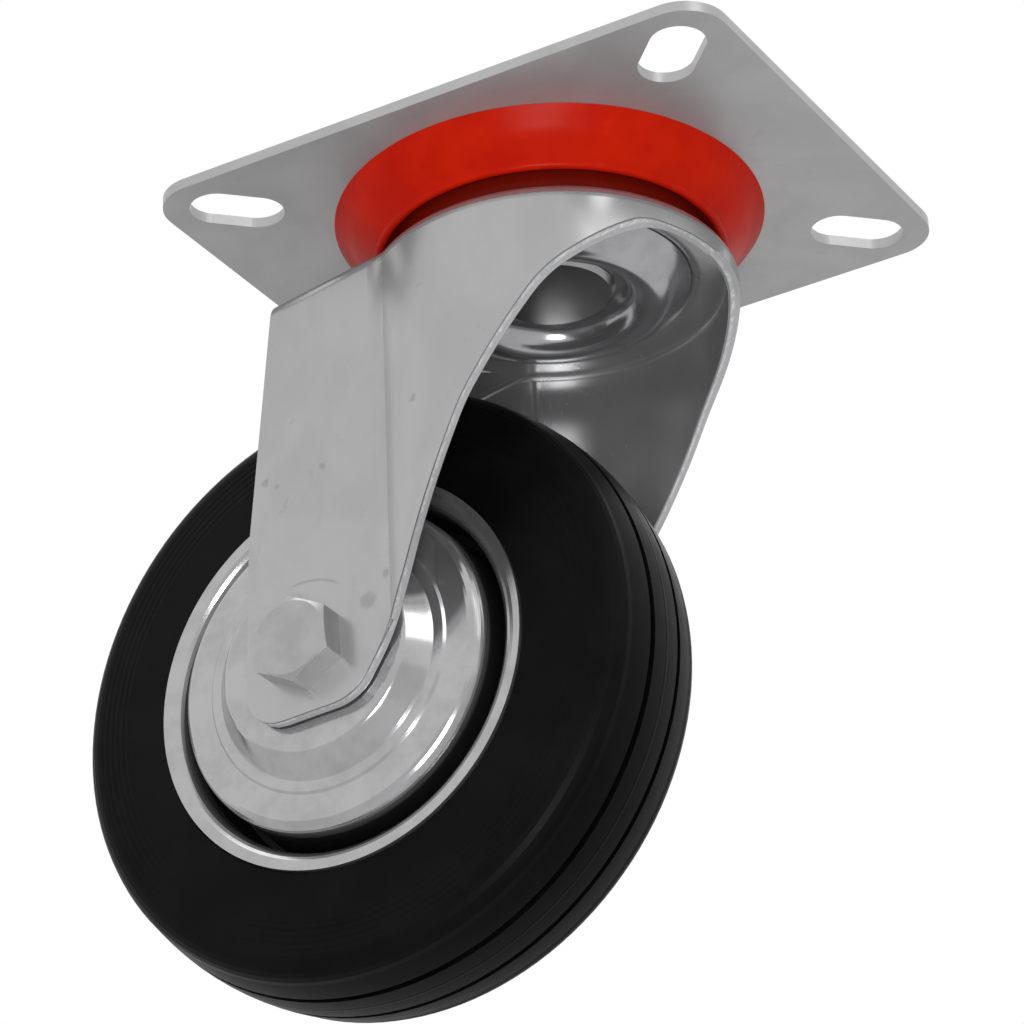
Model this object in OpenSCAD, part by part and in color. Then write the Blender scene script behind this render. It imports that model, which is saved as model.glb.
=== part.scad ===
// Plate swivel castor: two ball rows in the head, one pressed fork, a two-part steel rim, a rubber tyre.
// The origin is the centre of the plate's top face, +Z is up and the wheel trails towards -X.

/* [Mounting plate] */
// Length of the plate along X
plate_l = 103; // [80:1:160]
// Width of the plate along Y
plate_w = 84; // [76:1:140]
// Sheet thickness of the plate
plate_t = 1.8; // [1.2:0.1:3]
// Corner radius of the plate
plate_r = 7.5; // [2:0.5:12]
// Width of a bolt slot
slot_w = 9; // [5:0.5:12]
// Distance between the two end arcs of a bolt slot
slot_run = 6.6; // [1:0.2:9]
// Angle of a bolt slot in its corner
slot_angle = 45; // [0:1:90]
// Slot centre to the short edge
slot_edge_x = 11; // [9:0.5:20]
// Slot centre to the long edge
slot_edge_y = 10.5; // [9:0.5:20]

/* [Swivel head] */
// Radius where the boss wall leaves the flat plate
boss_r = 31.5; // [30:0.5:40]
// Radius where the boss wall meets the ball shelf
shelf_r = 27; // [26:0.5:29]
// Depth of the ball shelf below the plate's top face
shelf_drop = 6.6; // [5:0.1:9]
// Radius where the shelf turns down into the centre cone
cone_r = 17.7; // [16.5:0.1:17.9]
// Radius of the boss bottom
boss_foot_r = 13.2; // [12:0.1:14]
// Bend radius on the tight side of the boss bends
boss_bend = 1.5; // [0.5:0.1:2]
// Diameter of an upper ball
upper_ball_d = 6; // [4:0.5:6.5]
// Pitch radius of the upper balls
upper_pitch_r = 21; // [20.5:0.1:22]
// Number of upper balls
upper_ball_n = 20; // [8:1:20]
// Depth of the upper track in the plate
upper_track = 0.55; // [0.3:0.05:0.8]
// Diameter of a lower ball
lower_ball_d = 5; // [4:0.5:5.5]
// Pitch radius of the lower balls
lower_pitch_r = 16.3; // [16:0.1:16.6]
// Number of lower balls
lower_ball_n = 18; // [8:1:18]
// Drop of the lower balls' centres below the underside of the raised web
lower_drop = 0.7; // [0.4:0.1:1.2]
// Sheet thickness of the lower race cup
cup_t = 1.8; // [1.2:0.1:2.2]
// Radius of the lower race cup's lip
cup_lip_r = 22.6; // [21.5:0.1:23]
// Gap between the cup's lip and the raised web
cup_gap = 0.4; // [0.3:0.1:1]
// Gap of a ball to a track that turns against it
run_gap = 0.3; // [0.2:0.05:0.5]
// Gap of a ball to the track that it rests in
seat_gap = 0.05; // [0.02:0.01:0.1]

/* [King pin] */
// Diameter of the king pin's shank
pin_d = 12; // [8:0.5:14]
// Radial clearance of the shank in its holes
pin_fit = 0.05; // [0.02:0.01:0.2]
// Radius of the upper head
pin_top_r = 10; // [8:0.1:11]
// Height of the upper head
pin_top_h = 4; // [2:0.1:6]
// Radius of the lower head
pin_foot_r = 10.2; // [8:0.1:11.5]
// Height of the lower head
pin_foot_h = 1.8; // [1:0.1:3]
// Bevel on the lower head's rim
pin_bevel = 0.8; // [0.2:0.1:0.9]

/* [Dust seal] */
// Outer radius of the seal against the plate
seal_r = 35.3; // [34.5:0.1:40]
// Outer radius of the seal at its lip
seal_lip_r = 29.1; // [28.8:0.1:32]
// Depth of the lip below the plate's top face
seal_drop = 9.6; // [8:0.1:10.5]
// Thickness of the lip
seal_wall = 1.6; // [1:0.1:1.8]
// Outward bow of the seal's outer face
seal_bow = 0.5; // [0:0.1:1]
// Gap between the seal and the boss wall
seal_fit = 0.05; // [0.02:0.01:0.2]
// Gap between the seal's inner ring and the fork head
seal_gap = 0.6; // [0.4:0.1:1.2]

/* [Fork] */
// Sheet thickness of the fork
fork_t = 2; // [1.5:0.1:3]
// Outer radius of the round head
head_r = 30.4; // [29.6:0.2:36]
// Shoulder radius around the head
head_bend = 3; // [2.6:0.1:4]
// Radius of the hollow bend where the round head runs into a leg
crease_r = 8; // [5:0.5:12]
// Depth of the upper track in the fork
fork_track = 0.8; // [0.4:0.05:0.9]
// Radius of the raised middle of the head
raise_r = 23.8; // [23.6:0.1:24.8]
// Height of the raised middle of the head
raise_h = 1.2; // [0.8:0.1:1.6]
// Radius of the centre hole
head_hole_r = 17.4; // [16.9:0.1:17.8]
// Height of the head's side wall at the front
skirt_h = 5.2; // [3.5:0.1:9]
// Clear width between the legs
leg_gap = 44; // [43:0.5:50]
// Bend radius outside between the rear web and the legs
leg_bend = 3; // [2.6:0.1:5]
// Downward slope of the rear web
web_slope = 9.5; // [3:0.5:12]
// Distance from the swivel axis to the rear end of the web
web_end = 38.9; // [34:0.1:44]
// Outward bow of the legs' rear edge
rear_bow = 1.6; // [0:0.1:3]
// Sheet left behind the axle
lobe_back = 11; // [9:0.1:15]
// Sheet left below the axle
lobe_down = 11.7; // [9:0.1:15]
// Distance from the axle forward to the bottom corner of a leg
lobe_toe = 9; // [5:0.1:12]
// Sheet left in front of the axle just above it
lobe_front = 20.5; // [14:0.1:23]
// Hollow of the front edge near the head
front_dip_top = 4; // [0:0.05:7]
// Hollow of the front edge near the axle
front_dip_low = 3.8; // [0:0.1:9]

/* [Axle] */
// Trail of the axle behind the swivel axis
trail = 33.74; // [26:0.25:38]
// Depth of the axle below the plate's top face
axle_drop = 80.36; // [79:0.5:110]
// Thread diameter of the axle bolt
bolt_d = 8; // [6:0.5:8]
// Width across flats of the bolt head and the nut
bolt_flats = 13; // [11:0.5:15]
// Height of the bolt head
bolt_head_h = 4.6; // [3.5:0.1:7]
// Direction of one corner of the bolt head
bolt_turn = 93.3; // [0:0.1:120]
// Radial clearance of the bolt in the legs and the sleeve
bolt_fit = 0.15; // [0.05:0.05:0.3]
// Radial clearance of the bolt in the nut, its ring and its washer
nut_fit = 0.05; // [0.02:0.01:0.1]
// Height of the locking nut
nut_h = 8; // [6:0.1:10]
// Length of bolt beyond the nut
bolt_end = 2.5; // [1:0.5:6]
// Diameter of the washer
washer_d = 16; // [15:0.5:20]
// Thickness of the washer
washer_t = 1.6; // [1:0.1:2]

/* [Tyre] */
// Radius of the wheel at the middle of the tread
wheel_r = 51.1; // [48:0.1:55]
// Drop of the tread from its middle to the shoulders
crown = 1.1; // [0.5:0.1:2.5]
// Width of the tyre at the shoulders
tyre_w = 25.8; // [24:0.2:27]
// Width of the tyre next to the rim
tyre_foot_w = 27.8; // [26:0.2:29]
// Shoulder radius
shoulder_r = 3.94; // [2:0.1:6]
// Distance of a tread groove from the middle
groove_y = 4.1; // [2.5:0.1:6]
// Width of a tread groove
groove_w = 1.2; // [0.6:0.1:2]
// Depth of a tread groove
groove_h = 0.9; // [0.4:0.1:1.5]
// Gap between the tyre and the rim
tyre_fit = 0.05; // [0.02:0.01:0.1]

/* [Rim] */
// Sheet thickness of a rim half
rim_t = 1.2; // [0.8:0.1:1.6]
// Radius of the tyre seat's inner face
seat_r = 29.6; // [28.5:0.1:31]
// Height of the rim flange above the tyre seat's inner face
flange_h = 3.5; // [3:0.1:5]
// Width across the rim flanges
flange_w = 28.8; // [28:0.2:31]
// Outer bend radius between a flange and the tyre seat
flange_bend = 2.4; // [1.6:0.1:2.8]
// Width of the groove at its bottom
trough_w = 1.7; // [1.5:0.1:3]
// Taper of the dome's side wall
dome_taper = 0.4; // [0.2:0.1:2]
// Half width of the rim at the dome edge
dome_y = 17.1; // [16:0.1:17.8]
// Outer bend radius of the dome edge
dome_bend = 2.2; // [1.6:0.1:2.6]
// Width of the flat ring between the dome edge and the hub step
ring_w = 5.9; // [4.5:0.1:6.5]
// Rise of the flat ring towards the hub step
ring_rise = 0.3; // [0:0.1:0.8]
// Width of the hub step
step_w = 2.1; // [1.4:0.1:3]
// Height of each of the hub step's two rises
step_h = 0.4; // [0.2:0.1:0.5]
// Width of the cone between the hub step and the hub face
cone_w = 3; // [2:0.1:4]
// Gap between the hub face and each leg
hub_gap = 0.4; // [0.3:0.1:1.5]

/* [Wheel bearing] */
// Outer diameter of the axle sleeve
sleeve_d = 12; // [10.5:0.1:13]
// End gap between the sleeve and each leg
sleeve_gap = 0.05; // [0.02:0.01:0.1]
// Diameter of a roller
roller_d = 3.5; // [2.5:0.1:3.8]
// Length of a roller
roller_l = 30; // [20:1:32]
// Number of rollers
roller_n = 10; // [6:1:10]
// Radial clearance between the rollers and the sleeve
roller_run = 0.1; // [0.05:0.01:0.1]
// Radial clearance between the rollers and the hub tube
roller_fit = 0.05; // [0.02:0.01:0.1]
// Outer diameter of the hub tube
hub_d = 23; // [22.4:0.2:25]
// Clearance around the hub tube in the rim halves
hub_fit = 0.05; // [0.02:0.01:0.1]
// Radial thickness of the cage
cage_t = 1.6; // [1:0.1:2]
// Clearance around each roller in the cage
cage_fit = 0.2; // [0.1:0.05:0.3]
// Width of the cage's end rings
cage_ring = 1.8; // [1:0.1:2.5]
// Thickness of a bearing cap
cap_t = 2; // [1.2:0.1:3]
// Radial gap between a bearing cap and the sleeve
cap_gap = 0.4; // [0.3:0.05:0.6]

/* [Hidden] */
$fn = 96;
steps = 6;
far = 110;
steel = [0.72, 0.73, 0.75];
bright = [0.85, 0.85, 0.86];

// Slot centres
slot_x = plate_l / 2 - slot_edge_x;
slot_y = plate_w / 2 - slot_edge_y;

// Levels of the swivel stack, from the plate downwards
shelf_z = -shelf_drop;
upper_z = shelf_z + upper_track - seat_gap - upper_ball_d / 2;
raise_z = upper_z - upper_ball_d / 2 - run_gap + fork_track;
web_z = raise_z - raise_h;
lower_z = raise_z - fork_t - lower_drop;
boss_z = lower_z + 2;
cup_z = boss_z - cup_t;
gutter_r = lower_ball_d / 2 + seat_gap * 2;
cup_top_z = raise_z - fork_t - cup_gap;

// Fork
leg_y = leg_gap / 2;
leg_out = leg_y + fork_t;
axle_x = -trail;
axle_z = -axle_drop;
bolt_bore_r = bolt_d / 2 + bolt_fit;

// Centre of the hollow bend, where the rear web starts to slope
crease_y = leg_out + crease_r - 0.02;
web_break = sqrt(pow(head_r + crease_r - 0.02, 2) - crease_y * crease_y);

// Wheel
flange_r = seat_r + flange_h;
groove_r = seat_r - trough_w;
dome_r = groove_r - dome_taper;
step_r = dome_r - ring_w;
step_y = dome_y + ring_rise;
face_r = step_r - step_w - cone_w;
face_y = leg_y - hub_gap;
edge_r = wheel_r - crown;
tread_y = tyre_w / 2 - shoulder_r;
crown_r = (tread_y * tread_y + crown * crown) / (2 * crown);
pitch_r = sleeve_d / 2 + roller_run + roller_d / 2;
hub_in_r = pitch_r + roller_d / 2 + roller_fit;

// Underside of the boss, from the flat plate to the axis
boss_path = [[boss_r + 3, -plate_t], [boss_r, -plate_t], [shelf_r, shelf_z],
             [cone_r, shelf_z], [boss_foot_r, boss_z], [0, boss_z]];
boss_rads = [0, boss_bend, boss_bend + plate_t, boss_bend, boss_bend + plate_t, 0];

// Top of the fork head, from the axis to the side wall
head_path = [[0, raise_z], [raise_r - raise_h / 2, raise_z], [raise_r + raise_h / 2, web_z],
             [head_r, web_z], [head_r, -far]];
head_rads = [0, fork_t + 0.3, 0.3, head_bend, 0];

// Visible face of a rim half as radius and half width, from the flange to the hub
rim_path = [[flange_r, flange_w / 2], [seat_r, flange_w / 2], [seat_r, rim_t], [groove_r, rim_t],
            [dome_r, dome_y], [step_r + step_h / 2, step_y], [step_r - step_h / 2, step_y + step_h],
            [step_r - step_w + step_h / 2, step_y + step_h], [step_r - step_w - step_h / 2, step_y + 2 * step_h],
            [face_r, face_y], [hub_d / 2 + hub_fit, face_y]];
rim_rads = [0, flange_bend, 0.5, 0.5, dome_bend, 0, 0, 0, 0, rim_t + 0.3, 0];

function unit(v) = v / norm(v);
function left_of(v) = [-v[1], v[0]];
function spin(v, a) = [v[0] * cos(a) - v[1] * sin(a), v[0] * sin(a) + v[1] * cos(a)];
function dir_in(p, i) = unit(p[i] - p[i - 1]);
function dir_out(p, i) = unit(p[i + 1] - p[i]);

// Points of one rounded corner of a path that is moved sideways by d
function corner(p, r, i, d) =
    i == 0 ? [p[0] + d * left_of(dir_out(p, 0))] :
    i == len(p) - 1 ? [p[i] + d * left_of(dir_in(p, i))] :
    let (a = dir_in(p, i), b = dir_out(p, i))
    let (s = sign(a[0] * b[1] - a[1] * b[0]))
    let (q = p[i] + d * (left_of(a) + left_of(b)) / (1 + a * b))
    let (rr = r[i] - s * d, ang = acos(max(-1, min(1, a * b))))
    let (c = q - rr * tan(ang / 2) * a + s * rr * left_of(a))
    rr < 0.02 || r[i] == 0 ? [q] :
    [for (j = [0:steps]) c + spin(-s * rr * left_of(a), s * ang * j / steps)];

// A path with rounded corners, moved sideways by d
function track(p, r, d) = [for (i = [0:len(p) - 1]) for (q = corner(p, r, i, d)) q];

// A closed outline with rounded corners
function loop(p, r) =
    let (n = len(p), q = concat([p[n - 1]], p, [p[0]]), s = concat([0], r, [0]))
    [for (i = [1:n]) for (c = corner(q, s, i, 0)) c];

function flip(p) = [for (i = [len(p) - 1:-1:0]) p[i]];

// A point beside the line from a to b, at a share of its length
function beside(a, b, share, d) = a + share * (b - a) + d * left_of(unit(b - a));

module rounded_rect(l, w, r) {
    square([l - 2 * r, w], center = true);
    square([l, w - 2 * r], center = true);
    for (x = [-1, 1], y = [-1, 1])
        translate([x * (l / 2 - r), y * (w / 2 - r)])
            circle(r = r);
}

module slot_2d() {
    square([slot_run, slot_w], center = true);
    for (s = [-1, 1])
        translate([s * slot_run / 2, 0])
            circle(d = slot_w);
}

module ball_ring(n, r, z, d) {
    for (i = [0:n - 1])
        rotate([0, 0, i * 360 / n])
            translate([r, 0, z])
                sphere(d = d, $fn = 28);
}

module tube_y(r_out, r_in, y0, y1) {
    translate([axle_x, y1, axle_z])
        rotate([90, 0, 0])
            difference() {
                cylinder(r = r_out, h = y1 - y0);
                translate([0, 0, -1])
                    cylinder(r = r_in, h = y1 - y0 + 2);
            }
}

module rod_y(r, y0, y1) {
    translate([axle_x, y1, axle_z])
        rotate([90, 0, 0])
            cylinder(r = r, h = y1 - y0);
}

// Puts a section of radius and width around the axle
module around_axle() {
    translate([axle_x, 0, axle_z])
        rotate([-90, 0, 0])
            rotate_extrude()
                children();
}

module mounting_plate() {
    top = boss_path[0][0];
    color(steel)
        difference() {
            union() {
                translate([0, 0, -plate_t])
                    linear_extrude(plate_t)
                        difference() {
                            rounded_rect(plate_l, plate_w, plate_r);
                            for (x = [-1, 1], y = [-1, 1])
                                translate([x * slot_x, y * slot_y])
                                    rotate(x * y * slot_angle)
                                        slot_2d();
                        }
                rotate_extrude()
                    polygon(concat(track(boss_path, boss_rads, 0), [[0, -plate_t / 2], [top, -plate_t / 2]]));
            }
            rotate_extrude()
                polygon(concat(track(boss_path, boss_rads, -plate_t), [[0, 1], [top, 1]]));
            rotate_extrude()
                translate([upper_pitch_r, upper_z])
                    circle(r = upper_ball_d / 2 + seat_gap);
            translate([0, 0, boss_z - 1])
                cylinder(d = pin_d + 2 * pin_fit, h = plate_t + 2);
        }
}

module dust_seal() {
    lip = seal_wall / 2;
    cone_dir = unit(boss_path[2] - boss_path[1]);
    low = seal_lip_r - seal_wall;
    bore = [low, boss_path[1][1] + (low - boss_path[1][0] + seal_fit * 0.7) * cone_dir[1] / cone_dir[0]];
    wall = [boss_path[0], boss_path[1], boss_path[1] + cone_dir * (boss_path[1][0] - low) / abs(cone_dir[0])];
    inner = track(wall, [0, boss_bend, 0], seal_fit);
    outer_top = [seal_r, -plate_t - seal_fit];
    outer_low = [seal_lip_r, -seal_drop + lip];
    mid = beside(outer_low, outer_top, 0.5, -seal_bow);
    ring_r = raise_r + raise_h / 2 + seal_gap;
    ring_top = shelf_z - seal_fit;
    color([0.8, 0.09, 0.02])
        rotate_extrude() {
            translate([ring_r, web_z + seal_gap])
                square([seal_wall, ring_top - web_z - seal_gap]);
            translate([ring_r, ring_top - seal_wall])
                square([low + 0.1 - ring_r, seal_wall]);
            polygon(concat(
                [for (q = inner) if (q[0] < seal_r && q[0] > low) q],
                [[low, bore[1] - 0.3], [low, -seal_drop + lip], outer_low],
                loop([outer_low, mid, outer_top], [0, 12, 0])
            ));
            translate([seal_lip_r - lip, -seal_drop + lip])
                circle(r = lip, $fn = 32);
        }
}

module king_pin() {
    top = boss_z + plate_t;
    color(bright)
        rotate_extrude()
            polygon([[0, cup_z - pin_foot_h], [pin_foot_r - pin_bevel, cup_z - pin_foot_h],
                     [pin_foot_r, cup_z - pin_foot_h + pin_bevel], [pin_foot_r, cup_z], [pin_d / 2, cup_z],
                     [pin_d / 2, top], [pin_top_r, top], [pin_top_r, top + pin_top_h - 1.4],
                     [pin_top_r - 2.2, top + pin_top_h], [0, top + pin_top_h]]);
}

module lower_race_cup() {
    out = gutter_r + cup_t;
    t_out = [lower_pitch_r, lower_z] + out * [cos(45), -sin(45)];
    t_in = [lower_pitch_r, lower_z] + gutter_r * [cos(45), -sin(45)];
    color(steel)
        rotate_extrude()
            difference() {
                union() {
                    translate([0, cup_z])
                        square([lower_pitch_r, cup_t]);
                    translate([lower_pitch_r, lower_z])
                        circle(r = out);
                    polygon([t_in, t_out, [cup_lip_r, t_out[1] + cup_lip_r - t_out[0]], [cup_lip_r, cup_top_z],
                             [t_in[0] + cup_top_z - t_in[1], cup_top_z]]);
                }
                translate([lower_pitch_r, lower_z])
                    circle(r = gutter_r);
                translate([0, boss_z])
                    square([far, far]);
                translate([lower_pitch_r, cup_top_z])
                    square([far, far]);
                translate([-far, -far])
                    square([far + pin_d / 2 + pin_fit, 2 * far]);
            }
}

module upper_balls() {
    color(bright)
        ball_ring(upper_ball_n, upper_pitch_r, upper_z, upper_ball_d);
}

module lower_balls() {
    color(bright)
        ball_ring(lower_ball_n, lower_pitch_r, lower_z, lower_ball_d);
}

// Section across the rear web: flat top, rounded edges, straight legs
module channel_2d(half, r, drop) {
    translate([-half, -far])
        square([2 * half, far - drop - r]);
    translate([r - half, -far])
        square([2 * (half - r), far - drop]);
    for (s = [-1, 1])
        translate([s * (half - r), -drop - r])
            circle(r = r);
}

// The pressed form as a solid, drawn once outside and once a sheet thickness smaller
module fork_form(inset) {
    rotate_extrude()
        polygon(concat(track(head_path, head_rads, -inset), [[0, -far]]));
    intersection() {
        translate([-web_break, 0, web_z])
            rotate([0, -web_slope, 0])
                translate([-60, 0, 0])
                    rotate([90, 0, 90])
                        linear_extrude(65 + inset / 2)
                            channel_2d(leg_out - inset, leg_bend - inset, inset);
        translate([-100, -50, -far - 20])
            cube([100, 100, far + 20 + web_z - inset]);
    }
    for (s = [-1, 1])
        crease(s, inset);
}

// Hollow bend on one side, from the round head to the plane of the leg
module crease(s, inset) {
    reach = head_r + crease_r + 2;
    intersection() {
        translate([0, 0, -far])
            linear_extrude(far)
                polygon([[0, 0], [-web_break, 0], [-web_break, s * crease_y]]);
        translate([-web_break, s * crease_y, 0])
            rotate_extrude()
                polygon(concat(track([[crease_r, -far], [crease_r, web_z], [reach, web_z]], [0, head_bend, 0], -inset),
                               [[reach, -far]]));
    }
}

// Side view of the pressing
function fork_side() =
    let (rear = [-web_end, web_z - (web_end - web_break) * tan(web_slope) + 0.3])
    let (heel = [axle_x - lobe_back, axle_z - lobe_down])
    let (toe = [axle_x + lobe_toe, axle_z - lobe_down + 1.1])
    let (shin = [axle_x + lobe_front, axle_z + 6.8])
    let (brow = [head_r - 4.6, web_z - skirt_h])
    loop([rear, beside(rear, heel, 0.58, -rear_bow), heel, toe, shin,
          beside(shin, brow, 0.403, front_dip_low), beside(shin, brow, 0.762, front_dip_top), brow,
          [head_r + 5, web_z - skirt_h], [head_r + 5, 0], [-web_break, 0]],
         [2.5, 60, 6, 8, 30, 40, 30, 4, 0, 0, 0]);

module fork() {
    color(steel)
        difference() {
            intersection() {
                difference() {
                    fork_form(0);
                    fork_form(fork_t);
                }
                translate([0, 50, 0])
                    rotate([90, 0, 0])
                        linear_extrude(100)
                            polygon(fork_side());
            }
            translate([0, 0, web_z - fork_t - 5])
                cylinder(r = head_hole_r, h = 20);
            rotate_extrude()
                translate([lower_pitch_r, lower_z])
                    circle(r = lower_ball_d / 2 + run_gap);
            rotate_extrude()
                translate([upper_pitch_r, upper_z])
                    circle(r = upper_ball_d / 2 + run_gap);
            rod_y(bolt_bore_r, -50, 50);
        }
}

// Hexagon with its rim turned off, standing on the XY plane
module hex_body(h) {
    corner_r = bolt_flats / 2 / cos(30);
    intersection() {
        cylinder(r = corner_r, h = h, $fn = 6);
        rotate_extrude()
            polygon([[0, 0], [corner_r + 1, 0], [corner_r + 1, h - 0.7 * (corner_r + 1 - bolt_flats / 2 + 0.3) * 0.6],
                     [bolt_flats / 2 - 0.3, h], [0, h]]);
    }
}

module axle_bolt() {
    color(bright)
        union() {
            translate([axle_x, -leg_out, axle_z])
                rotate([90, 0, 0])
                    rotate([0, 0, bolt_turn])
                        hex_body(bolt_head_h);
            translate([axle_x, -leg_out - 1, axle_z])
                rotate([-90, 0, 0])
                    rotate_extrude()
                        polygon([[0, 0], [bolt_d / 2, 0], [bolt_d / 2, bolt_len - 0.8],
                                 [bolt_d / 2 - 0.8, bolt_len], [0, bolt_len]]);
        }
}

bolt_len = 1 + 2 * leg_out + washer_t + nut_h + bolt_end;
collar_h = nut_h * 0.28;

module axle_nut() {
    hex_h = nut_h - collar_h;
    color(bright)
        translate([axle_x, leg_out + washer_t, axle_z])
            rotate([-90, 0, 0])
                difference() {
                    union() {
                        rotate([0, 0, 17])
                            hex_body(hex_h);
                        cylinder(r = bolt_flats / 2 - 0.4, h = nut_h);
                    }
                    translate([0, 0, -1])
                        cylinder(r = bolt_d / 2 + nut_fit, h = nut_h + 2);
                    translate([0, 0, hex_h])
                        cylinder(r = bolt_flats / 2 - 1.2, h = collar_h - 0.6);
                }
}

module nut_insert() {
    y0 = leg_out + washer_t + nut_h - collar_h;
    color([0.2, 0.35, 0.75])
        tube_y(bolt_flats / 2 - 1.25, bolt_d / 2 + nut_fit, y0 + 0.05, y0 + collar_h - 0.65);
}

module nut_washer() {
    color(bright)
        tube_y(washer_d / 2, bolt_d / 2 + nut_fit + 0.2, leg_out, leg_out + washer_t);
}

module axle_sleeve() {
    color(steel)
        tube_y(sleeve_d / 2, bolt_bore_r, -leg_y + sleeve_gap, leg_y - sleeve_gap);
}

module tyre() {
    foot = track([[flange_r + 0.3, flange_w / 2], [seat_r, flange_w / 2], [seat_r, 1]],
                 [0, flange_bend, 0], rim_t + tyre_fit);
    half = concat(flip(foot), [[flange_r + 0.3, tyre_foot_w / 2], [edge_r - shoulder_r, tyre_w / 2]]);
    shoulder = [for (a = [15:15:75]) [edge_r - shoulder_r + shoulder_r * sin(a), tread_y + shoulder_r * cos(a)]];
    arc = asin(tread_y / crown_r);
    crown_pts = [for (k = [-8:8]) [wheel_r - crown_r + crown_r * cos(arc * k / 8), -crown_r * sin(arc * k / 8)]];
    color([0.05, 0.05, 0.05])
        around_axle()
            difference() {
                polygon(concat(half, shoulder, crown_pts, [for (q = flip(concat(half, shoulder))) [q[0], -q[1]]]));
                for (s = [-1, 1])
                    translate([wheel_r - groove_h - crown * groove_y * groove_y / tread_y / tread_y, s * groove_y])
                        translate([0, -groove_w / 2])
                            square([5, groove_w]);
            }
}

module rim_half(side) {
    body = concat(track(rim_path, rim_rads, 0), flip(track(rim_path, rim_rads, rim_t)));
    color([0.8, 0.81, 0.83])
        around_axle()
            polygon([for (q = body) [q[0], side * q[1]]]);
}

module rim_near() {
    rim_half(-1);
}

module rim_far() {
    rim_half(1);
}

module hub_tube() {
    color(steel)
        tube_y(hub_d / 2, hub_in_r, -face_y, face_y);
}

module bearing_rollers() {
    color(bright)
        translate([axle_x, roller_l / 2, axle_z])
            rotate([90, 0, 0])
                for (i = [0:roller_n - 1])
                    rotate([0, 0, i * 360 / roller_n])
                        translate([pitch_r, 0, 0])
                            cylinder(d = roller_d, h = roller_l, $fn = 32);
}

module bearing_cage() {
    h = roller_l + 2 * cage_fit + 2 * cage_ring;
    color([0.9, 0.88, 0.8])
        translate([axle_x, h / 2, axle_z])
            rotate([90, 0, 0])
                difference() {
                    cylinder(r = pitch_r + cage_t / 2, h = h);
                    translate([0, 0, -1])
                        cylinder(r = pitch_r - cage_t / 2, h = h + 2);
                    for (i = [0:roller_n - 1])
                        rotate([0, 0, i * 360 / roller_n])
                            translate([pitch_r, 0, cage_ring])
                                cylinder(r = roller_d / 2 + cage_fit, h = h - 2 * cage_ring, $fn = 32);
                }
}

module bearing_cap(y0) {
    color([0.15, 0.15, 0.16])
        tube_y(hub_in_r - hub_fit, sleeve_d / 2 + cap_gap, y0, y0 + cap_t);
}

module bearing_cap_near() {
    bearing_cap(-face_y);
}

module bearing_cap_far() {
    bearing_cap(face_y - cap_t);
}

mounting_plate();
dust_seal();
king_pin();
lower_race_cup();
upper_balls();
lower_balls();
fork();
axle_bolt();
axle_nut();
nut_insert();
nut_washer();
axle_sleeve();
tyre();
rim_near();
rim_far();
hub_tube();
bearing_rollers();
bearing_cage();
bearing_cap_near();
bearing_cap_far();
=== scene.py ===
import math

import bpy
from mathutils import Matrix, Vector

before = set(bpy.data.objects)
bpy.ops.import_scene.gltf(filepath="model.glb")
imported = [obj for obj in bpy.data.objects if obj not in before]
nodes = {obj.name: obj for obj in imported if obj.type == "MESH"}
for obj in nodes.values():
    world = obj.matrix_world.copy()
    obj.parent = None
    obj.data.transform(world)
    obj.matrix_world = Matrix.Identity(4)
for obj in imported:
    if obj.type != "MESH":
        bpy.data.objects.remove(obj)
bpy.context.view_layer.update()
scene = bpy.context.scene
MM = 0.001
X, Y, Z = 0, 1, 2
SWIVEL = (0.0, 0.0, 0.0)
AXLE = (-33.74 * MM, 0.0, -80.36 * MM)


# Node helpers

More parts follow.
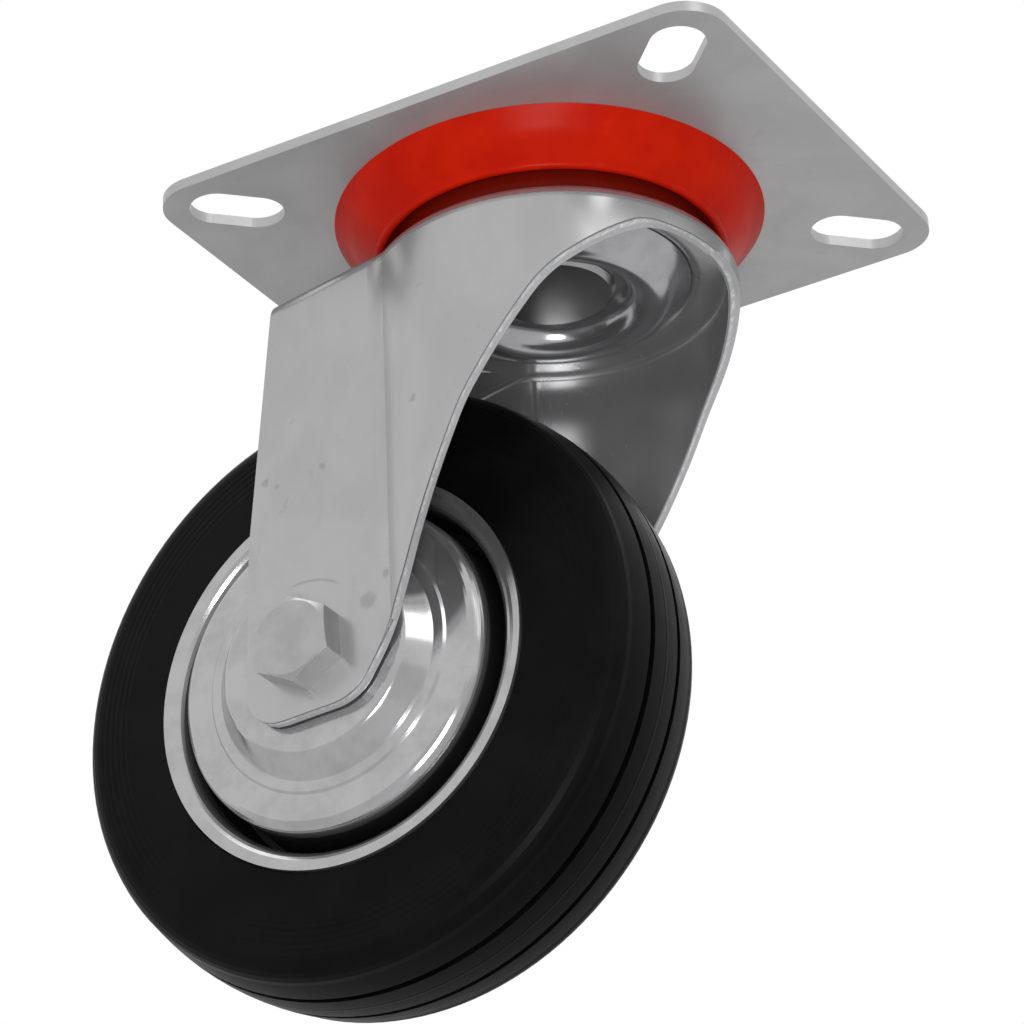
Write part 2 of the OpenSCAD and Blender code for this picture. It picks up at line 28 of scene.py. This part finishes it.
class Nodes:
    """Builds one material's node tree with short calls."""

    def __init__(self, name):
        self.mat = bpy.data.materials.new(name)
        self.mat.use_nodes = True
        self.tree = self.mat.node_tree
        self.bsdf = self.tree.nodes["Principled BSDF"]
        self.coord = self.tree.nodes.new("ShaderNodeTexCoord").outputs["Object"]

    def new(self, kind, ins=None, **props):
        node = self.tree.nodes.new(kind)
        for key, value in props.items():
            setattr(node, key, value)
        for key, value in (ins or {}).items():
            self.put(node.inputs[key], value)
        return node

    def put(self, socket, value):
        if isinstance(value, bpy.types.NodeSocket):
            self.tree.links.new(value, socket)
        else:
            socket.default_value = value

    def math(self, op, *values):
        node = self.new("ShaderNodeMath", operation=op)
        for i, value in enumerate(values):
            self.put(node.inputs[i], value)
        return node.outputs[0]

    def product(self, first, *others):
        for other in others:
            first = self.math("MULTIPLY", first, other)
        return first

    def noise(self, size_mm, detail=4.0, rough=0.5, stretch=None, distort=0.0):
        """Noise with features of about size_mm; stretch gives it a different scale on each axis."""
        vector = self.coord
        if stretch:
            vector = self.new("ShaderNodeMapping", {"Vector": vector, "Scale": stretch}).outputs[0]
        return self.new("ShaderNodeTexNoise", {
            "Vector": vector, "Scale": 1000.0 / size_mm, "Detail": detail, "Roughness": rough,
            "Distortion": distort}).outputs["Fac"]

    def ramp(self, value, low, high):
        """Soft step from 0 at low to 1 at high; low may be the larger of the two."""
        return self.new("ShaderNodeMapRange", {"Value": value, "From Min": low, "From Max": high},
                        interpolation_type="SMOOTHSTEP").outputs[0]

    def mix(self, fac, a, b):
        node = self.new("ShaderNodeMix", data_type="RGBA")
        for i, value in zip((0, 6, 7), (fac, a, b)):
            self.put(node.inputs[i], value)
        return node.outputs[2]

    def axis(self, i):
        return self.new("ShaderNodeSeparateXYZ", {"Vector": self.coord}).outputs[i]

    def radius(self, centre, along):
        """Distance from an axis through centre along X, Y or Z."""
        squares = []
        for i in (X, Y, Z):
            if i != along:
                d = self.math("SUBTRACT", self.axis(i), centre[i])
                squares.append(self.math("MULTIPLY", d, d))
        return self.math("SQRT", self.math("ADD", *squares))

    def bump(self, height, distance_mm, strength, normal=None):
        ins = {"Height": height, "Distance": distance_mm * MM, "Strength": strength}
        if normal is not None:
            ins["Normal"] = normal
        return self.new("ShaderNodeBump", ins).outputs[0]

    def set(self, **sockets):
        for key, value in sockets.items():
            self.put(self.bsdf.inputs[key.replace("_", " ")], value)


def rgb(r, g, b):
    return (r, g, b, 1.0)


def shade(tone, *factors):
    """A tone times one factor, or times a factor for each channel."""
    if len(factors) == 1:
        factors *= 3
    return rgb(*(c * f for c, f in zip(tone, factors)))


# Zinc-plated sheet

SHEET = 2 * MM                 # the fork's thickness
LEG_INNER_Y = 22 * MM          # inner faces of the fork's legs
HEAD_INNER_R = 28.4 * MM       # inner face of the fork's round head
HEAD_BACK_X = -17.5 * MM       # the sheet is round in front of this, and flat behind it
LEG_EDGE_TOP = -30 * MM        # cut edges lie below this height behind HEAD_BACK_X,
HEAD_EDGE_TOP = -15 * MM       # and below this one in front of it
NEAR_FACE_Y = -23.5 * MM       # only the near leg's outer face lies beyond this
# Small handling marks on the near leg: place along X and Z and radius, in mm
MARKS = ((-40.7, -49.0, 0.9), (-29.9, -49.2, 0.8), (-10.0, -45.4, 0.9),
         (-21.9, -75.4, 1.9), (-18.2, -72.2, 1.2), (-38.5, -50.3, 0.5))
ARC_R = 11.5 * MM              # thin scraped arc around the bolt head
TORN_DARK, TORN_LIGHT = rgb(0.42, 0.42, 0.43), rgb(0.60, 0.60, 0.60)
# The burnished line's near white is partly the real burnish and partly painted glint
BURNISH_AND_GLINT, LIP_DARK = rgb(0.95, 0.95, 0.95), rgb(0.16, 0.16, 0.16)


def leg_marks(m):
    """Mask of the marks and of the arc around the bolt head."""
    x, z = m.axis(X), m.axis(Z)
    ragged = m.math("MULTIPLY_ADD", m.noise(1.6, 4, 0.7), 2.8 * MM, -1.4 * MM)
    total = None
    for px, pz, r in MARKS:
        dx = m.math("SUBTRACT", x, px * MM)
        dz = m.math("SUBTRACT", z, pz * MM)
        squares = m.math("ADD", m.math("MULTIPLY", dx, dx), m.math("MULTIPLY", dz, dz))
        away = m.math("SQRT", squares)
        spot = m.ramp(m.math("ADD", away, ragged), r * MM, 0.4 * r * MM)
        total = spot if total is None else m.math("MAXIMUM", total, spot)
    off_arc = m.math("ABSOLUTE", m.math("SUBTRACT", m.radius(AXLE, Y), ARC_R))
    arc = m.product(m.ramp(off_arc, 0.3 * MM, 0.1 * MM), m.ramp(z, -72.2 * MM, -71.2 * MM),
                    m.ramp(x, -37.0 * MM, -34.5 * MM), m.ramp(x, -26.5 * MM, -28.5 * MM))
    total = m.math("MAXIMUM", total, arc)
    return m.math("MULTIPLY", total, m.math("LESS_THAN", m.axis(Y), NEAR_FACE_Y))


def cut_edge(m):
    """Mask and colour of the fork's cut edges: a torn band, a burnished line whose near-white
    sparkle is painted glint, and a dark lip.
    """
    y = m.axis(Y)
    in_head = m.math("GREATER_THAN", m.axis(X), HEAD_BACK_X)
    flat_depth = m.math("SUBTRACT", m.math("ABSOLUTE", y), LEG_INNER_Y)
    round_depth = m.math("SUBTRACT", m.radius(SWIVEL, Z), HEAD_INNER_R)
    depth = m.math("ADD", m.math("MULTIPLY", in_head, round_depth),
                   m.math("MULTIPLY", m.math("SUBTRACT", 1.0, in_head), flat_depth))
    # Distance through the sheet from its face on the -Y side, where the lip lies
    across = m.math("MULTIPLY_ADD", m.math("SIGN", y),
                    m.math("SUBTRACT", depth, SHEET / 2), SHEET / 2)
    top = m.math("MULTIPLY_ADD", in_head, HEAD_EDGE_TOP - LEG_EDGE_TOP, LEG_EDGE_TOP)
    zone = m.product(m.ramp(depth, 0.06 * MM, 0.12 * MM),
                     m.ramp(depth, SHEET - 0.06 * MM, SHEET - 0.12 * MM),
                     m.math("LESS_THAN", m.axis(Z), top))
    # Painted glints: near-white patches along the burnished line, which is partly real burnish
    painted_glint = m.ramp(m.noise(1.9, 6, 0.85, (1, 1, 0.35), 1.0), 0.40, 0.70)
    bright = m.product(m.ramp(across, 0.3 * MM, 0.5 * MM), m.ramp(across, 1.2 * MM, 0.8 * MM),
                       painted_glint)
    band = m.mix(m.noise(0.8, 4, 0.7, (1, 1, 0.3)), TORN_DARK, TORN_LIGHT)
    band = m.mix(bright, band, BURNISH_AND_GLINT)
    return zone, m.mix(m.ramp(across, 0.4 * MM, 0.2 * MM), band, LIP_DARK)


def zinc_sheet(name, tone, rough, metal, stretch, grain, cut_edges=False):
    """Zinc-plated pressed sheet: cloudy gloss, rolling lines, small stains, cut edges with a
    burnished line and painted glints.
    """
    m = Nodes(name)
    cloud = m.noise(14, 5, 0.6, stretch, 0.6)
    fine = m.noise(2.2, 4, 0.65, stretch)
    rolled = m.noise(26, 3, 0.6, grain)
    stain = m.ramp(m.noise(7, 6, 0.72, stretch, 1.5), 0.60, 0.76)
    colour = m.mix(m.ramp(cloud, 0.35, 0.68), rgb(*tone), shade(tone, 0.91))
    colour = m.mix(stain, colour, shade(tone, 0.84, 0.83, 0.81))
    r = m.math("MULTIPLY_ADD", cloud, 0.06, rough - 0.03)
    r = m.math("MULTIPLY_ADD", stain, 0.08, r)
    r = m.math("MULTIPLY_ADD", fine, 0.03, r)
    if cut_edges:
        colour = m.mix(m.math("MULTIPLY", leg_marks(m), 0.6), colour, shade(tone, 0.62))
        zone, band = cut_edge(m)
        colour = m.mix(zone, colour, band)
        metal = m.math("MULTIPLY_ADD", zone, -0.55, metal)
        r = m.math("MULTIPLY_ADD", zone, 0.18, r)
    n = m.bump(cloud, 0.10, 0.06)
    n = m.bump(rolled, 0.02, 0.06, n)
    n = m.bump(fine, 0.01, 0.04, n)
    m.set(Base_Color=colour, Metallic=metal, Roughness=r, Normal=n)
    return m.mat


# Bright steel

TURNED_PITCH = 0.35 * MM       # spacing of the turning marks
THREAD_PITCH = 1.25 * MM       # an M8 bolt's
THREAD_Y = (20 * MM, 21 * MM)  # the thread fades in between these
THREAD_R = (3.0 * MM, 3.8 * MM)
DOME_R = 28.8 * MM             # the rim's dome lies inside this radius, its flange outside
CHANNEL_R = (26.0 * MM, 26.8 * MM)
CHANNEL_Y = (10.6 * MM, 9.6 * MM)   # painted shade darkens the channel between these depths
DOME_SHIFT = 4 * MM            # and this much further out on the dome's wall
# Painted shade: near-black colour for the rim's channel, where it lies in shadow
CHANNEL_PAINTED_SHADE = rgb(0.035, 0.034, 0.033)


def bright_steel(name, tone, rough, metal, turned=None, thread=False, painted_channel_shade=False):
    """Bright zinc-plated steel, with turned rings around an axis where one is given, and painted
    shade deep in the rim's channel where that is asked for.
    """
    m = Nodes(name)
    cloud = m.noise(5, 5, 0.6)
    fine = m.noise(0.9, 4, 0.6)
    colour = m.mix(m.ramp(cloud, 0.35, 0.7), rgb(*tone), shade(tone, 0.86))
    r = m.math("MULTIPLY_ADD", cloud, 0.12, rough - 0.03)
    if painted_channel_shade:
        # Painted shade: the rim's channel between flange and dome turns near black with depth
        radius = m.radius(AXLE, Y)
        on_dome = m.math("LESS_THAN", radius, DOME_R)
        depth = m.math("SUBTRACT", m.math("ABSOLUTE", m.axis(Y)),
                       m.math("MULTIPLY", on_dome, DOME_SHIFT))
        dark = m.product(m.ramp(depth, *CHANNEL_Y), m.ramp(radius, *CHANNEL_R))
        colour = m.mix(dark, colour, CHANNEL_PAINTED_SHADE)
        r = m.math("MULTIPLY_ADD", dark, 0.35, r)
    n = m.bump(fine, 0.02, 0.14)
    if turned:
        rings = m.math("SINE", m.math("MULTIPLY", m.radius(*turned), math.tau / TURNED_PITCH))
        n = m.bump(rings, 0.01, 0.10, n)
    if thread:
        y = m.axis(Y)
        turn = m.math("ARCTAN2", m.math("SUBTRACT", m.axis(Z), AXLE[Z]),
                      m.math("SUBTRACT", m.axis(X), AXLE[X]))
        phase = m.math("MULTIPLY_ADD", y, math.tau / THREAD_PITCH, turn)
        wave = m.math("ABSOLUTE", m.math("SINE", m.math("MULTIPLY", phase, 0.5)))
        mask = m.product(m.ramp(y, *THREAD_Y), m.ramp(m.radius(AXLE, Y), *THREAD_R))
        n = m.bump(m.math("MULTIPLY", wave, mask), 0.5, 0.9, n)
    m.set(Base_Color=colour, Metallic=metal, Roughness=r, Normal=n)
    return m.mat


# Plastics and rubber

SEAL_RED, SEAL_DEEP = rgb(0.64, 0.014, 0.0005), rgb(0.55, 0.009, 0.0005)
# Painted shade for the seal's skirt under its lip, where the gap lies in shadow
SEAL_PAINTED_SHADE = rgb(0.16, 0.006, 0.002)
SEAL_BORE_R = (27.5 * MM, 27.2 * MM)    # painted shade darkens the seal inside this radius
SEAL_BORE_Z = (-7.8 * MM, -8.2 * MM)    # and below this height
RUBBER_BLACK, RUBBER_DUSTY = rgb(0.0022, 0.0022, 0.0023), rgb(0.0042, 0.0042, 0.0041)
SIDE_RING_PITCH = 1.1 * MM


def red_plastic(name):
    """Glossy red moulding with faint flow streaks, and painted shade inside its bore under the lip.
    """
    m = Nodes(name)
    cloud = m.noise(9, 4, 0.6)
    fine = m.noise(0.5, 3, 0.6)
    streak = m.noise(20, 3, 0.6, (1, 1, 12))
    # Painted shade: the seal's bore and skirt below the lip are darkened where the gap is shadowed
    inside = m.product(m.ramp(m.radius(SWIVEL, Z), *SEAL_BORE_R), m.ramp(m.axis(Z), *SEAL_BORE_Z))
    colour = m.mix(m.ramp(cloud, 0.3, 0.7), SEAL_RED, SEAL_DEEP)
    n = m.bump(streak, 0.10, 0.10)
    n = m.bump(fine, 0.02, 0.14, n)
    m.set(Base_Color=m.mix(inside, colour, SEAL_PAINTED_SHADE), Normal=n,
          Roughness=m.math("MULTIPLY_ADD", cloud, 0.14, 0.24), Specular_IOR_Level=0.07)
    return m.mat


def rubber(name):
    """Black moulded rubber: fine rings on the side walls, a mould line, dust in the grain."""
    m = Nodes(name)
    radius = m.radius(AXLE, Y)
    y = m.math("ABSOLUTE", m.axis(Y))
    rings = m.math("SINE", m.math("MULTIPLY", radius, math.tau / SIDE_RING_PITCH))
    ring_zone = m.product(m.ramp(radius, 40.5 * MM, 41.2 * MM),
                          m.ramp(radius, 47.5 * MM, 46.8 * MM), m.ramp(y, 11.5 * MM, 12.2 * MM))
    mould_line = m.ramp(y, 0.35 * MM, 0.15 * MM)
    grain = m.noise(0.6, 5, 0.65)
    cloud = m.noise(12, 5, 0.6)
    r = m.math("MULTIPLY_ADD", cloud, 0.18, 0.30)
    r = m.math("MULTIPLY_ADD", grain, 0.10, r)
    n = m.bump(m.math("MULTIPLY", rings, ring_zone), 0.02, 0.8)
    n = m.bump(mould_line, 0.10, 0.5, n)
    n = m.bump(cloud, 0.30, 0.12, n)
    n = m.bump(grain, 0.03, 0.20, n)
    m.set(Base_Color=m.mix(m.ramp(cloud, 0.35, 0.7), RUBBER_BLACK, RUBBER_DUSTY),
          Roughness=r, Normal=n, Specular_IOR_Level=0.06)
    return m.mat


def plastic(name, a, b):
    """Satin moulding between two close colours."""
    m = Nodes(name)
    cloud = m.noise(6, 4, 0.6)
    fine = m.noise(0.5, 4, 0.6)
    m.set(Base_Color=m.mix(m.ramp(cloud, 0.3, 0.7), rgb(*a), rgb(*b)),
          Roughness=m.math("MULTIPLY_ADD", fine, 0.15, 0.38), Normal=m.bump(fine, 0.03, 0.2))
    return m.mat


# A look for each node

ON_SWIVEL, ON_AXLE = (SWIVEL, Z), (AXLE, Y)
pin_steel = bright_steel("pin_steel", (0.40, 0.40, 0.40), 0.16, 0.9, ON_SWIVEL)
nut_steel = bright_steel("nut_steel", (0.55, 0.55, 0.55), 0.2, 0.85, ON_AXLE)
ball_steel = bright_steel("ball_steel", (0.65, 0.65, 0.65), 0.08, 1.0)
tube_steel = bright_steel("tube_steel", (0.55, 0.55, 0.55), 0.2, 0.9, ON_AXLE)
# The rim gets painted shade in its channel
rim_zinc = bright_steel("rim_zinc", (0.45, 0.45, 0.455), 0.12, 0.85, ON_AXLE, painted_channel_shade=True)
cap_nylon = plastic("cap_nylon", (0.020, 0.020, 0.022), (0.030, 0.030, 0.032))

LOOKS = {
    "mounting_plate": zinc_sheet("plate_zinc", (0.46, 0.46, 0.46), 0.34, 0.45,
                                 (1, 1, 1), (0.12, 1.4, 1)),
    "dust_seal": red_plastic("seal_red"),
    "king_pin": pin_steel,
    "lower_race_cup": bright_steel("cup_zinc", (0.46, 0.46, 0.47), 0.14, 0.8, ON_SWIVEL),
    "upper_balls": ball_steel,
    "lower_balls": ball_steel,
    "fork": zinc_sheet("fork_zinc", (0.435, 0.435, 0.44), 0.24, 0.70,
                       (1, 1, 0.6), (1.2, 1.2, 0.12), cut_edges=True),
    "axle_bolt": bright_steel("bolt_steel", (0.41, 0.41, 0.41), 0.18, 0.85, ON_AXLE, thread=True),
    "axle_nut": nut_steel,
    "nut_insert": plastic("insert_nylon", (0.10, 0.20, 0.48), (0.08, 0.16, 0.42)),
    "nut_washer": nut_steel,
    "axle_sleeve": tube_steel,
    "tyre": rubber("tyre_rubber"),
    "rim_near": rim_zinc,
    "rim_far": rim_zinc,
    "hub_tube": tube_steel,
    "bearing_rollers": ball_steel,
    "bearing_cage": plastic("cage_nylon", (0.62, 0.59, 0.50), (0.54, 0.51, 0.43)),
    "bearing_cap_near": cap_nylon,
    "bearing_cap_far": cap_nylon,
}

for name, obj in nodes.items():
    obj.data.materials.clear()
    obj.data.materials.append(LOOKS[name])


# Camera at the photograph's viewpoint

RIGHT = Vector((0.8581834, 0.5120795, -0.0359973))
DOWN = Vector((-0.2705569, 0.3915978, -0.8794601))
AHEAD = Vector((-0.4362570, 0.7644774, 0.4746094))
EYE = Vector((0.3140054, -0.5666524, -0.4049243))
FOCAL_PX, IMAGE_PX, SENSOR_MM = 4640.8256, 1024, 36.0

data = bpy.data.cameras.new("camera")
data.sensor_fit = "HORIZONTAL"
data.sensor_width = SENSOR_MM
data.lens = FOCAL_PX / IMAGE_PX * SENSOR_MM
data.clip_start = 0.01
data.clip_end = 200.0
camera = bpy.data.objects.new("camera", data)
turned_to = Matrix((RIGHT, -DOWN, -AHEAD)).transposed().to_4x4()
camera.matrix_world = Matrix.Translation(EYE) @ turned_to
scene.collection.objects.link(camera)
scene.camera = camera


# Floor and world

FLOOR_SIZE, FLOOR_Z, FLOOR_GLOW = 160.0, -2.0, 0.6
WORLD_FILL = 0.5


def background_rays(tree, share):
    """share for rays from the camera, in gloss and through glass, and 0 for all others."""
    path = tree.nodes.new("ShaderNodeLightPath")
    shown = path.outputs["Is Camera Ray"]
    for ray in ("Is Glossy Ray", "Is Transmission Ray"):
        add = tree.nodes.new("ShaderNodeMath")
        add.operation = "MAXIMUM"
        tree.links.new(shown, add.inputs[0])
        tree.links.new(path.outputs[ray], add.inputs[1])
        shown = add.outputs[0]
    scale = tree.nodes.new("ShaderNodeMath")
    scale.operation = "MULTIPLY"
    scale.inputs[1].default_value = share
    tree.links.new(shown, scale.inputs[0])
    return scale.outputs[0]


def mix_by_ray(tree, share, other, shown, output):
    """Shows one shader to the background's rays and the other to the rest."""
    mix = tree.nodes.new("ShaderNodeMixShader")
    tree.links.new(background_rays(tree, share), mix.inputs[0])
    tree.links.new(other.outputs[0], mix.inputs[1])
    tree.links.new(shown.outputs[0], mix.inputs[2])
    tree.links.new(mix.outputs[0], output.inputs["Surface"])


# A matt pale floor that still takes shadows, and looks nearly as white as the background
half = FLOOR_SIZE / 2
mesh = bpy.data.meshes.new("floor")
corners = [(-half, -half, 0), (half, -half, 0), (half, half, 0), (-half, half, 0)]
mesh.from_pydata(corners, [], [(0, 1, 2, 3)])
floor = bpy.data.objects.new("floor", mesh)
floor.location = (0, 0, FLOOR_Z)
scene.collection.objects.link(floor)
matt = bpy.data.materials.new("floor")
matt.use_nodes = True
bsdf = matt.node_tree.nodes["Principled BSDF"]
bsdf.inputs["Base Color"].default_value = rgb(0.85, 0.85, 0.85)
bsdf.inputs["Roughness"].default_value = 0.9
glow = matt.node_tree.nodes.new("ShaderNodeEmission")
glow.inputs["Color"].default_value = rgb(1, 1, 1)
mix_by_ray(matt.node_tree, FLOOR_GLOW, bsdf, glow, matt.node_tree.nodes["Material Output"])
mesh.materials.append(matt)

world = bpy.data.worlds.new("studio")
scene.world = world
world.use_nodes = True
world.node_tree.nodes.clear()
white = world.node_tree.nodes.new("ShaderNodeBackground")
white.inputs["Color"].default_value = rgb(1, 1, 1)
white.inputs["Strength"].default_value = 1.0
fill = world.node_tree.nodes.new("ShaderNodeBackground")
fill.inputs["Color"].default_value = rgb(0.97, 0.98, 1.0)
fill.inputs["Strength"].default_value = WORLD_FILL
mix_by_ray(world.node_tree, 1.0, fill, white,
           world.node_tree.nodes.new("ShaderNodeOutputWorld"))


# Lamps

AIM = Vector((0, 0, -0.05))


def lamp(name, place, size, power):
    """A square area lamp that looks at the middle of the castor."""
    light = bpy.data.lights.new(name, "AREA")
    light.shape = "RECTANGLE"
    light.size = light.size_y = size
    light.energy = power
    obj = bpy.data.objects.new(name, light)
    obj.location = place
    obj.rotation_euler = (AIM - Vector(place)).to_track_quat("-Z", "Y").to_euler()
    scene.collection.objects.link(obj)


lamp("flash", (0.43, -0.84, -0.56), 0.35, 5.0)
lamp("key", (-0.20, -0.45, 1.25), 0.8, 2.6)
lamp("rear", (-0.50, 1.00, 0.60), 0.8, 2.5)
lamp("right", (0.84, -0.46, 0.47), 0.42, 1.3)

scene.view_settings.view_transform = "Standard"
